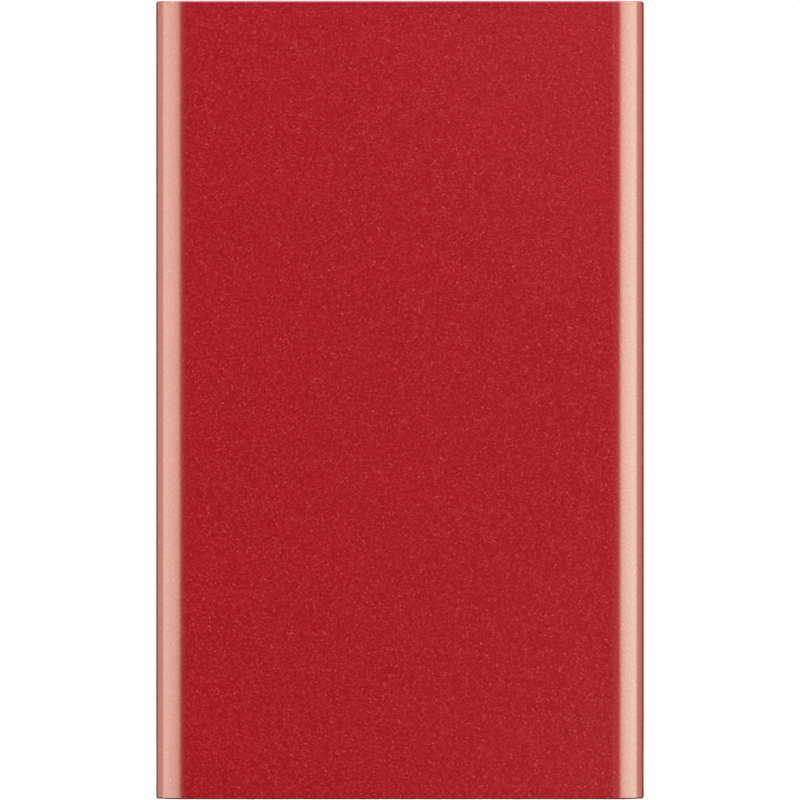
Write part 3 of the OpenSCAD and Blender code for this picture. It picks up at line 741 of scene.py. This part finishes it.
class PLAYER_OT_controls(bpy.types.Operator):
    """Builds the control ring and the centre button, with their symbols"""
    bl_idname = "player.controls"
    bl_label = "Controls"
    bl_options = {"REGISTER", "UNDO"}

    def execute(self, context):
        self.ring()
        self.button()
        ink = printed_ink("pale_printed_ink", (*colours().marks, 1.0))
        self.ring_marks(ink)
        self.button_mark(ink)
        return {"FINISHED"}

    def dish_level(self, radius):
        """Level of the ring's hollowed face at a distance from its centre."""
        s = sizes()
        top = -corners("nav_ring")[0].y
        mid = (s.ring_diameter / 2 + s.button_diameter / 2 + s.control_gap) / 2
        sunk = top + s.dish_radius - s.dish_depth - math.sqrt(s.dish_radius ** 2 - (radius - mid) ** 2)
        return min(top, sunk)

    def crown_level(self, radius):
        """Level of the centre button's domed face at a distance from its centre."""
        s = sizes()
        top = -corners("centre_button")[0].y
        return top - s.crown_radius + math.sqrt(s.crown_radius ** 2 - radius ** 2)

    def ring(self):
        s = sizes()
        centre = middle("nav_ring")
        under, low, flange = 2.9 * MM, 2.2 * MM, 2.5 * MM
        outer, bore = s.ring_diameter / 2, s.button_diameter / 2 + s.control_gap
        skirt, brim = outer - 1.6 * MM, outer + 0.6 * MM
        steps = 24
        radii = [bore + (outer - bore) * i / steps for i in range(steps + 1)]
        profile = [(bore, under)] + [(radius, self.dish_level(radius)) for radius in radii]
        profile += [(outer, flange), (brim, flange), (brim, low), (skirt, low), (skirt, under), (bore, under)]
        bm = bmesh.new()
        centre = Vector((centre.x, 0, centre.z))
        turned(bm, profile, centre)
        corners = [edge for edge in sharp_edges(bm)
                   if all(-vert.co.y > self.dish_level(outer) - 0.02 * MM for vert in edge.verts)]
        soften(bm, corners, 0.22 * MM, 4)
        # solid pivot blocks and push pads on the hidden side
        pivot_z, half_w, half_h, block_low, block_high = 9.6 * MM, 1 * MM, 0.6 * MM, 1.6 * MM, 3.0 * MM
        for side in (-1, 1):
            z = centre.z + side * pivot_z
            block(bm, (-half_w, -block_high, z - half_h), (half_w, -block_low, z + half_h))
        reach, pad_r, pad_level, pad_depth = 11.9 * MM, 0.7 * MM, 2.3 * MM, 1.4 * MM
        for turn in range(4):
            angle = turn * math.pi / 2
            x, z = reach * math.cos(angle), reach * math.sin(angle)
            place = Matrix.Translation((x, -pad_level, centre.z + z)) @ FACING_DISPLAY
            bmesh.ops.create_cone(bm, cap_ends=True, segments=24, radius1=pad_r, radius2=pad_r,
                                  depth=pad_depth, matrix=place)
        plastic = moulded_plastic("moulded_control_plastic", (*colours().controls, 1.0), 0.36)
        piece("control_ring", bm, plastic, "nav_ring", ["nav_ring"])

    def button(self):
        s = sizes()
        centre = middle("centre_button")
        centre = Vector((centre.x, 0, centre.z))
        radius, steps = s.button_diameter / 2, 12
        dome = [(radius * i / steps, self.crown_level(radius * i / steps)) for i in range(steps + 1)]
        brim_low, brim_high, brim_r = 2.3 * MM, 2.6 * MM, radius + 0.7 * MM
        stem, stem_r = 1.6 * MM, 1 * MM
        profile = dome + [(radius, brim_high), (brim_r, brim_high), (brim_r, brim_low),
                          (stem_r, brim_low), (stem_r, stem), (0, stem)]
        bm = bmesh.new()
        turned(bm, profile, centre)
        edge_level = self.crown_level(radius)
        corners = [edge for edge in sharp_edges(bm)
                   if all(-vert.co.y > edge_level - 0.02 * MM for vert in edge.verts)]
        soften(bm, corners, 0.2 * MM, 4)
        piece("select_button", bm, anodised_aluminium("red_anodised_button", colours().button),
              "centre_button", ["centre_button"])

    # Symbols are drawn flat round the origin, then laid on the face that a level formula gives

    def bar(self, bm, x, z, width, height):
        place = Matrix.Translation((x, z, 0)) @ Matrix.Diagonal((width, height, 1, 1))
        bmesh.ops.create_grid(bm, x_segments=1, y_segments=1, size=0.5, matrix=place)

    def arrow(self, bm, x, size, side):
        turn = Matrix.Rotation(math.radians(90 if side < 0 else -90), 4, "Z")
        bmesh.ops.create_circle(bm, segments=3, radius=size, cap_ends=True,
                                matrix=Matrix.Translation((x, 0, 0)) @ turn)

    def lay(self, bm, centre, level_at, thickness=0.014 * MM, sunk=0.03 * MM):
        """Rounds the flat symbols' corners, gives them a body and lays them on the curved face."""
        bmesh.ops.bevel(bm, geom=bm.verts[:], offset=0.1 * MM, offset_type="OFFSET", affect="VERTICES",
                        segments=4, profile=0.5, material=-1)
        bmesh.ops.triangulate(bm, faces=bm.faces[:])
        bmesh.ops.subdivide_edges(bm, edges=bm.edges[:], cuts=2, use_grid_fill=True)
        top = list(bm.faces)
        raised = bmesh.ops.extrude_face_region(bm, geom=top)
        lifted = {item for item in raised["geom"] if isinstance(item, bmesh.types.BMVert)}
        for vert in bm.verts:
            level = level_at(math.hypot(vert.co.x, vert.co.y))
            level += thickness if vert in lifted else -sunk
            vert.co = (centre.x + vert.co.x, -level, centre.z + vert.co.y)

    def ring_marks(self, ink):
        s = sizes()
        reach = (s.ring_diameter / 2 + s.button_diameter / 2 + s.control_gap) / 2
        size, line = s.mark_size, s.mark_size * 0.2
        bm = bmesh.new()
        self.bar(bm, 0, reach, size, line)
        for side in (-1, 1):
            self.bar(bm, 0, reach + side * (size + line) / 4, line, (size - line) / 2)
        self.bar(bm, 0, -reach, size, line)
        for side in (-1, 1):
            self.arrow(bm, side * (reach - size * 0.32), size * 0.42, side)
            self.arrow(bm, side * (reach + size * 0.30), size * 0.42, side)
            self.bar(bm, side * (reach + size * 0.62), 0, line * 0.8, size * 0.74)
        self.lay(bm, middle("nav_ring"), self.dish_level)
        piece("ring_symbols", bm, ink, "nav_ring")

    def button_mark(self, ink):
        size = sizes().mark_size
        bm = bmesh.new()
        self.arrow(bm, -size * 0.36, size * 0.48, 1)
        for x in (0.42, 0.78):
            self.bar(bm, size * x, 0, size * 0.19, size * 0.84)
        self.lay(bm, middle("centre_button"), self.crown_level)
        piece("button_symbol", bm, ink, "centre_button")


class PLAYER_OT_hold_switch(bpy.types.Operator):
    """Builds the hold slider with its finger grooves, and finishes the switch under it"""
    bl_idname = "player.hold_switch"
    bl_label = "Hold switch"
    bl_options = {"REGISTER", "UNDO"}

    def execute(self, context):
        low, high = corners("hold_slider")
        x = (low.x + high.x) / 2
        width, depth, height = 7 * MM, 3 * MM, 0.95 * MM
        top = high.z
        bm = bmesh.new()

        def loop(inset, z):
            return rounded_loop(bm, width - 2 * inset, depth - 2 * inset, 1.35 * MM - inset,
                                Matrix.Translation((x, 0, z)))

        loops = [loop(0, top - height)] + [loop(inset, top - drop) for inset, drop in fillet(0.18 * MM)]
        bridge(bm, loops)
        fill(bm, loops[0])
        bmesh.ops.contextual_create(bm, geom=loops[-1])
        pitch, groove, reach, deep = 0.9 * MM, 0.35 * MM, 1.0 * MM, 0.2 * MM
        cuts = [((x + i * pitch + side * groove / 2, 0, 0), (1, 0, 0))
                for i in range(-2, 3) for side in (-1, 1)]
        cuts += [((0, side * reach, 0), (0, 1, 0)) for side in (-1, 1)]
        for place, normal in cuts:
            crown = [face for face in bm.faces if face.calc_center_median().z > top - 0.001 * MM]
            around = list({item for face in crown for item in (*face.verts, *face.edges)}) + crown
            bmesh.ops.bisect_plane(bm, geom=around, plane_co=place, plane_no=normal, dist=1e-8)
        bottoms = []
        for face in bm.faces:
            spot = face.calc_center_median()
            near = abs((spot.x - x + pitch / 2) % pitch - pitch / 2)
            on_crown = spot.z > top - 0.001 * MM
            in_row = abs(spot.y) < reach and abs(spot.x - x) < 2.5 * pitch
            if on_crown and in_row and near < groove / 4:
                bottoms.append(face)
        pushed = bmesh.ops.extrude_discrete_faces(bm, faces=bottoms)["faces"]
        sunk = list({vert for face in pushed for vert in face.verts})
        bmesh.ops.translate(bm, vec=(0, 0, -deep), verts=sunk)
        # neck through the cap and foot under it
        neck_x, neck_y, neck_low, neck_high = 2 * MM, 0.9 * MM, 76.0 * MM, top - height + 0.1 * MM
        foot_x, foot_y, foot_low, foot_high = 4.2 * MM, 1.9 * MM, 75.68 * MM, 76.03 * MM
        block(bm, (x - neck_x, -neck_y, neck_low), (x + neck_x, neck_y, neck_high))
        block(bm, (x - foot_x, -foot_y, foot_low), (x + foot_x, foot_y, foot_high))
        piece("hold_knob", bm, clear_anodised_aluminium("clear_anodised_aluminium"), "hold_slider",
              ["hold_slider"])
        dress(moulded_plastic("hold_flag_plastic", (*colours().hold_flag, 1.0), 0.4), "hold_mark")
        dress(moulded_nylon("moulded_switch_nylon"), "hold_lever")
        dress(moulded_plastic("moulded_switch_plastic", colour("#2B2B2E"), 0.45), "hold_switch")
        return {"FINISHED"}


class PLAYER_OT_inner_works(bpy.types.Operator):
    """Finishes the chassis, the boards, the cell and the fasteners inside the sleeve"""
    bl_idname = "player.inner_works"
    bl_label = "Inner works"
    bl_options = {"REGISTER", "UNDO"}

    def execute(self, context):
        dress(rolled_steel("zinc_plated_steel"), "top_bracket", "bottom_bracket", "gimbal_ring")
        dress(die_cast("die_cast_aluminium"), "chassis")
        dress(turned_metal("passivated_screw_steel", "#83868B", "#A0A3A8"), "top_screws", "bottom_screws")
        dress(turned_metal("brass_screws", "#B79A55", "#D2B878"), "board_screws", "nav_screws")
        dress(moulded_plastic("moulded_key_frame", colour("#55585C"), 0.5), "nav_base")
        dress(rolled_steel("spring_steel", "#A9ABAF", "#C4C6C9", (0.14, 0.26), 0.2),
              "centre_dome", "vertical_domes", "side_domes")
        dress(solder_mask("green_solder_mask"), "key_board", "main_board", "switch_board")
        dress(moulded_epoxy("moulded_epoxy"), "processor", "flash_chip", "audio_codec", "power_chip")
        dress(rolled_steel("tin_plated_steel", "#A9ABAF", "#C4C6C9", (0.22, 0.36)), "shield_can", "crystal")
        dress(fired_ceramic("fired_ceramic"), "board_components")
        dress(moulded_nylon("moulded_nylon"), "board_sockets", "battery_plug")
        dress(laminated_foil("laminated_foil"), "battery_cell")
        dress(closed_cell_foam("adhesive_foam"), "battery_pad")
        dress(polyimide("polyimide_tape", copper=False), "battery_guard", "insulating_film")
        dress(silicone_rubber("red_silicone", "#A01F18", "#BC2C22"), "battery_lead_red")
        dress(silicone_rubber("black_silicone", "#101010", "#1C1C1C"), "battery_lead_black")
        return {"FINISHED"}


class PLAYER_OT_stage(bpy.types.Operator):
    """Sets the pale floor, the soft panels, the backdrop and the camera"""
    bl_idname = "player.stage"
    bl_label = "Studio"
    bl_options = {"REGISTER", "UNDO"}

    def execute(self, context):
        self.floor()
        self.world()
        self.panels()
        self.camera()
        return {"FINISHED"}

    def floor(self):
        bm = bmesh.new()
        bmesh.ops.create_circle(bm, cap_ends=True, segments=96, radius=1.6)
        mesh = bpy.data.meshes.new("floor")
        bm.to_mesh(mesh)
        bm.free()
        floor = bpy.data.objects.new("floor", mesh)
        bpy.context.scene.collection.objects.link(floor)
        mesh.materials.append(self.painted_floor())
        floor.visible_glossy = floor.visible_shadow = False

    def painted_floor(self):
        """Matt white painted board, which melts into the white backdrop far from the player."""
        material = bpy.data.materials.new("matt_white_board")
        material.use_nodes = True
        tree = material.node_tree
        tree.nodes.clear()
        place = add(tree, "TexCoord")
        far = add(tree, "VectorMath", {"operation": "LENGTH"}, {0: place.outputs["Object"]})
        fade = add(tree, "MapRange", {"From Min": 0.07, "From Max": 0.3, "interpolation_type": "SMOOTHSTEP"},
                   {"Value": far.outputs["Value"]})
        seen = add(tree, "BsdfDiffuse", {"Color": colour("#C0C0C4")})
        unseen = add(tree, "BsdfDiffuse", {"Color": colour("#303030")})
        clear = add(tree, "BsdfTransparent")
        ray = add(tree, "LightPath")
        board = add(tree, "MixShader", {}, {0: fade.outputs["Result"], 1: seen.outputs[0],
                                            2: clear.outputs[0]})
        both = add(tree, "MixShader", {}, {0: ray.outputs["Is Camera Ray"], 1: unseen.outputs[0],
                                           2: board.outputs[0]})
        add(tree, "OutputMaterial", {}, {"Surface": both.outputs[0]})
        return material

    def world(self):
        world = bpy.data.worlds.new("studio")
        bpy.context.scene.world = world
        world.use_nodes = True
        tree = world.node_tree
        tree.nodes.clear()
        dim = add(tree, "Background", {"Color": colour("#FFFFFF"), "Strength": 0.02})
        white = add(tree, "Background", {"Color": colour("#FFFFFF"), "Strength": 1.0})
        ray = add(tree, "LightPath")
        both = add(tree, "MixShader", {}, {0: ray.outputs["Is Camera Ray"], 1: dim.outputs[0],
                                           2: white.outputs[0]})
        add(tree, "OutputWorld", {}, {"Surface": both.outputs[0]})

    def panel(self, name, place, aim, width, height, brightness, warmth=(1.0, 1.0, 1.0)):
        """Soft panel that faces a point; its brightness is what the eye would see on it."""
        light = bpy.data.lights.new(name, "AREA")
        light.shape = "RECTANGLE"
        light.size, light.size_y = width, height
        light.energy = brightness * math.pi * width * height
        light.color = warmth
        made = bpy.data.objects.new(name, light)
        turn = (Vector(aim) - Vector(place)).to_track_quat("-Z", "Y")
        made.matrix_world = Matrix.Translation(place) @ turn.to_matrix().to_4x4()
        made.visible_camera = False
        bpy.context.scene.collection.objects.link(made)

    def panels(self):
        st = studio()
        x, height = st.side_distance, st.side_height
        left_tint, right_tint = (0.96, 0.97, 0.76), (0.87, 0.98, 0.77)
        # name, side, first and last angle from the back's normal, share of the power, tint
        strips = (("side_left", 1, 35, 104, 0.88, left_tint),
                  ("side_left_rear", 1, 106, 140, 0.27, left_tint),
                  ("side_right", -1, 36, 102, 1.14, right_tint),
                  ("side_right_rear", -1, 104, 135, 0.22, right_tint))
        for name, side, first, last, share, warmth in strips:
            far, near = (x / math.tan(math.radians(angle)) for angle in (first, last))
            y = (near + far) / 2
            z = middle("sleeve").z
            self.panel(name, (side * x, y, z), (0, y, z), far - near, height,
                       share * st.side_power, warmth)
        high_y, high_z = 1.04, 1.56
        for name, side in (("high_back", 1), ("high_front", -1)):
            self.panel(name, (0, side * high_y, high_z), (0, 0, 0.04), 1.8, 1.0, st.high_power)
        # two small panels near the camera's side lay a faint haze over one half of the back
        aim = middle("sleeve")
        for name, side in (("haze_above", 1), ("haze_below", -1)):
            self.panel(name, (-0.085, 0.3, aim.z + side * 0.09), aim, 0.05, 0.05, 2.6)
        self.panel("overhead", (0, 0, 0.95), (0, 0, 0), 1.0, 1.0, st.top_power)

    def camera(self):
        low, high = (Vector(corner) for corner in CAD_BOUNDS)
        data = bpy.data.cameras.new("camera")
        data.lens, data.sensor_width = 600.0, 36.0
        data.clip_start, data.clip_end = 0.01, 100.0
        margin = 1.0019
        distance = margin * (high.z - low.z) / 2 / (data.sensor_width / 2 / data.lens)
        made = bpy.data.objects.new("camera", data)
        made.location = (0, high.y + distance, (low.z + high.z) / 2)
        made.rotation_euler = (math.radians(90), 0, math.radians(180))
        bpy.context.scene.collection.objects.link(made)
        bpy.context.scene.camera = made
        bpy.context.scene.view_settings.view_transform = "Standard"
        bpy.context.scene.view_settings.look = "None"


OPERATORS = (PLAYER_OT_stage, PLAYER_OT_sleeve, PLAYER_OT_end_caps, PLAYER_OT_sockets,
             PLAYER_OT_display, PLAYER_OT_controls, PLAYER_OT_hold_switch, PLAYER_OT_inner_works)


class PLAYER_PT_sidebar(bpy.types.Panel):
    bl_idname = "PLAYER_PT_sidebar"
    bl_label = "Audio player"
    bl_space_type = "VIEW_3D"
    bl_region_type = "UI"
    bl_category = "Player"

    def draw(self, context):
        for group in (sizes(), colours(), studio()):
            box = self.layout.box()
            for name in group.bl_rna.properties.keys():
                if name not in ("rna_type", "name"):
                    box.prop(group, name)
        for step in OPERATORS:
            self.layout.operator(step.bl_idname)


CLASSES = (PlayerSizes, PlayerColours, PlayerStudio, *OPERATORS, PLAYER_PT_sidebar)


def register():
    for cls in CLASSES:
        bpy.utils.register_class(cls)
    bpy.types.Scene.player_sizes = PointerProperty(type=PlayerSizes)
    bpy.types.Scene.player_colours = PointerProperty(type=PlayerColours)
    bpy.types.Scene.player_studio = PointerProperty(type=PlayerStudio)


def unregister():
    del bpy.types.Scene.player_studio
    del bpy.types.Scene.player_colours
    del bpy.types.Scene.player_sizes
    for cls in reversed(CLASSES):
        bpy.utils.unregister_class(cls)


def main():
    register()
    for step in OPERATORS:
        group, name = step.bl_idname.split(".")
        getattr(getattr(bpy.ops, group), name)()


if __name__ == "__main__":
    main()
